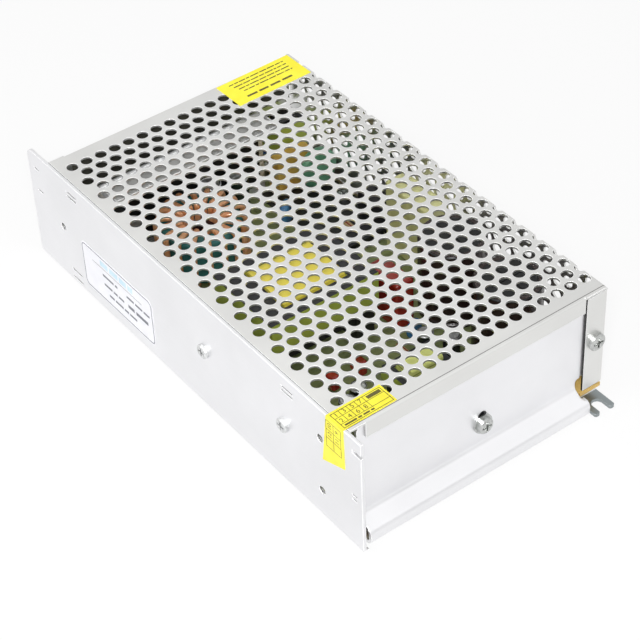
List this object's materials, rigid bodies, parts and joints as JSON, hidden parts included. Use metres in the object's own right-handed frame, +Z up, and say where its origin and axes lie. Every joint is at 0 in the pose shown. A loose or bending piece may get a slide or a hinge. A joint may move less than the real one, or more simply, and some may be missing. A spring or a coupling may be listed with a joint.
{
  "type": "enclosed switching power supply",
  "caption": "Flat metal-cased power supply with a perforated cover, a folded chassis and a terminal strip under a hinged flap",
  "frame": {"origin": "middle of the footprint, on the plane that the base rests on", "axes": "+Z up, +Y along the case from the solid end wall to the terminal end, +X across from the solid side wall to the perforated side"},
  "size_m": [0.1114, 0.199, 0.0501],
  "materials": {
    "aluminium_chassis": "bare folded aluminium sheet, satin",
    "aluminium_cover": "bare perforated aluminium sheet, satin",
    "plated_steel": "bright zinc-plated screws, nut and washer",
    "board": "olive green solder-masked laminate",
    "film": "translucent insulating film",
    "ferrite": "dark grey ferrite",
    "yellow_tape": "yellow polyester tape",
    "bobbin": "black moulded bobbin",
    "core_coating": "teal coated ring core",
    "copper": "enamelled copper wire",
    "dark_sleeve": "dark shrink sleeve with a grey vented top",
    "red_film": "red dipped capacitor",
    "yellow_film": "yellow box capacitor",
    "amber_film": "amber taped capacitor",
    "blue_dip": "blue dipped disc",
    "green_dip": "dark green dipped disc",
    "resistor_body": "tan lacquered resistor",
    "heatsink_aluminium": "plain aluminium",
    "fuse_glass": "clear glass tube with plated caps",
    "tinned": "tinned metal",
    "black_package": "black moulded package",
    "green_lens": "tinted green lens",
    "blue_body": "blue moulded trimmer body",
    "white_rotor": "white moulded rotor",
    "pad": "grey thermal pad",
    "terminal_black": "black moulded terminal block",
    "clear_flap": "clear moulded flap",
    "yellow_paper": "plain bright yellow sticker",
    "label_film": "silver-white label film"
  },
  "bodies": {
    "case": {"chassis": "aluminium_chassis", "cover": "aluminium_cover", "cover_screw": "plated_steel", "circuit_board": "board", "insulating_film": "film", "board_spacers": "tinned", "board_screws": "plated_steel", "main_transformer_core": "ferrite", "main_transformer_winding": "yellow_tape", "main_transformer_bobbin": "bobbin", "driver_transformer_core": "ferrite", "driver_transformer_winding": "yellow_tape", "driver_transformer_bobbin": "bobbin", "filter_choke_core": "ferrite", "filter_choke_winding": "copper", "filter_choke_bobbin": "bobbin", "output_choke_core": "core_coating", "output_choke_winding": "copper", "bulk_capacitors": "dark_sleeve", "output_capacitors": "dark_sleeve", "small_capacitors": "dark_sleeve", "red_capacitors": "red_film", "yellow_capacitor": "yellow_film", "amber_capacitor": "amber_film", "blue_capacitors": "blue_dip", "thermistor": "green_dip", "resistors": "resistor_body", "heatsink": "heatsink_aluminium", "fuse": "fuse_glass", "fuse_clips": "tinned", "control_chip": "black_package", "indicator_lamp": "green_lens", "trimmer_body": "blue_body", "selector_body": "black_package", "power_transistors": "black_package", "rectifier_diodes": "black_package", "insulating_pads": "pad", "clamp_bars": "plated_steel", "clamp_screws": "plated_steel", "bridge_rectifier": "black_package", "bridge_screw": "plated_steel", "bridge_washer": "plated_steel", "bridge_nut": "plated_steel", "terminal_block": "terminal_black", "terminal_plates": "tinned", "terminal_clamps": "plated_steel", "terminal_screws": "plated_steel", "top_sticker": "yellow_paper", "seal_sticker": "label_film", "rating_label": "label_film"},
    "flap": {"terminal_flap": "clear_flap"},
    "rotor": {"trimmer_rotor": "white_rotor"},
    "slider": {"selector_slider": "white_rotor"}
  },
  "joints": [
    {"name": "flap_hinge", "type": "hinge", "parent": "case", "child": "flap", "pos_m": [-0.0063, 0.0887, 0.0269], "axis": [1, 0, 0], "range_deg": [0, 95]},
    {"name": "trimmer_turn", "type": "hinge", "parent": "case", "child": "rotor", "pos_m": [0.0447, 0.0915, 0.012], "axis": [0, 0, 1], "range_deg": [-135, 135]},
    {"name": "selector_slide", "type": "slide", "parent": "case", "child": "slider", "axis": [0, 1, 0], "range_m": [0, 0.008]}
  ]
}
